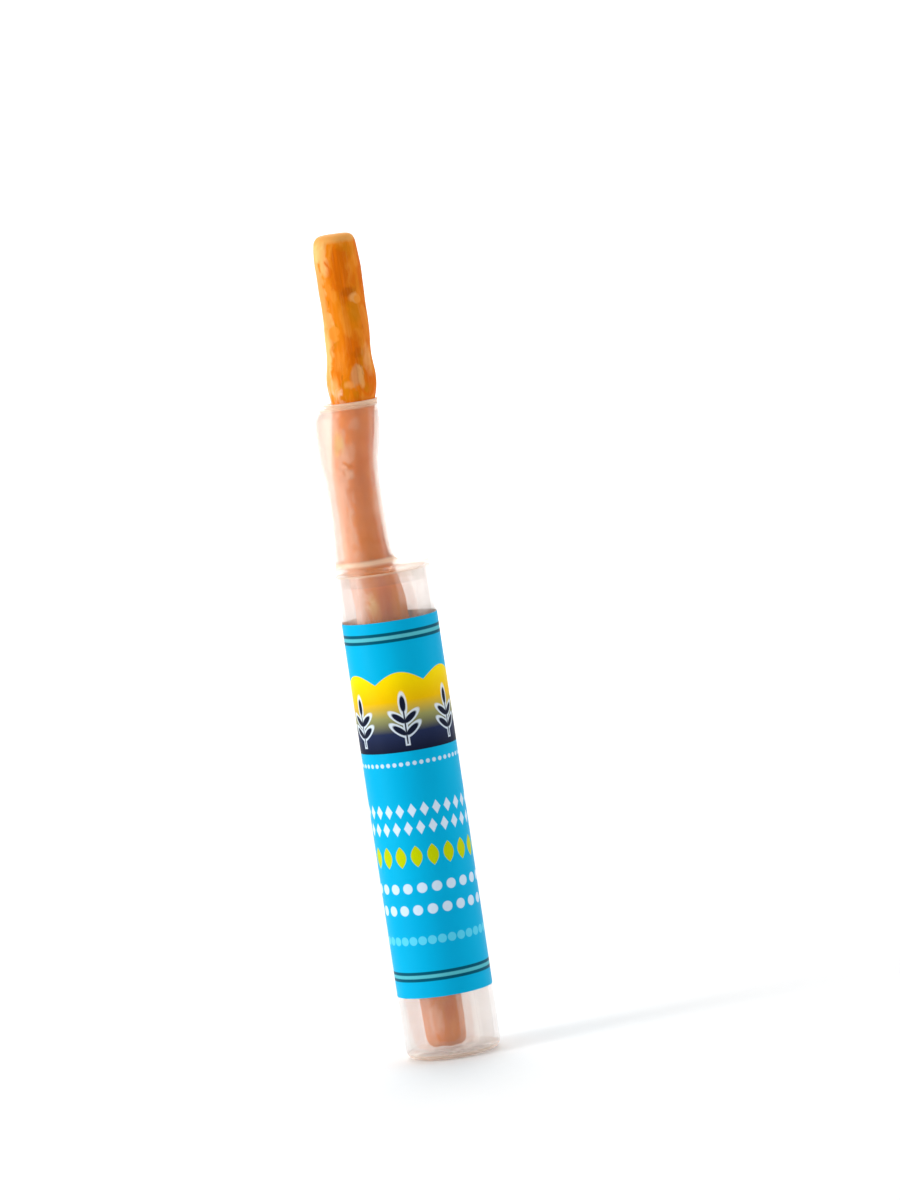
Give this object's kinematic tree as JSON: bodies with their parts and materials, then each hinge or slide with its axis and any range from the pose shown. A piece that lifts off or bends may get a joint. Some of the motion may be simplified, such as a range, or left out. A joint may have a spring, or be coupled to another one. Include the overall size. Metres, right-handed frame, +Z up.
{
  "type": "miswak stick",
  "caption": "Crooked peeled chewing stick held upright by an off-centre clear neck on a clear round tube with a printed film label.",
  "frame": {"origin": "centre of the tube's flat underside", "axes": "+Z up along the tube's axis, towards the stick's tip; seen from -Y, the off-centre neck stands on the -X side"},
  "size_m": [0.0214, 0.0214, 0.1775],
  "materials": {
    "peeled_wood": "satin, orange peeled wood with paler streaks and patches",
    "clear_plastic": "clear, slightly milky and glossy",
    "printed_film": "glossy cyan-blue printed film with dark double lines"
  },
  "bodies": {
    "root": {"miswak_stick": "peeled_wood", "neck_collar": "clear_plastic", "holder_tube": "clear_plastic", "label": "printed_film"}
  },
  "joints": []
}
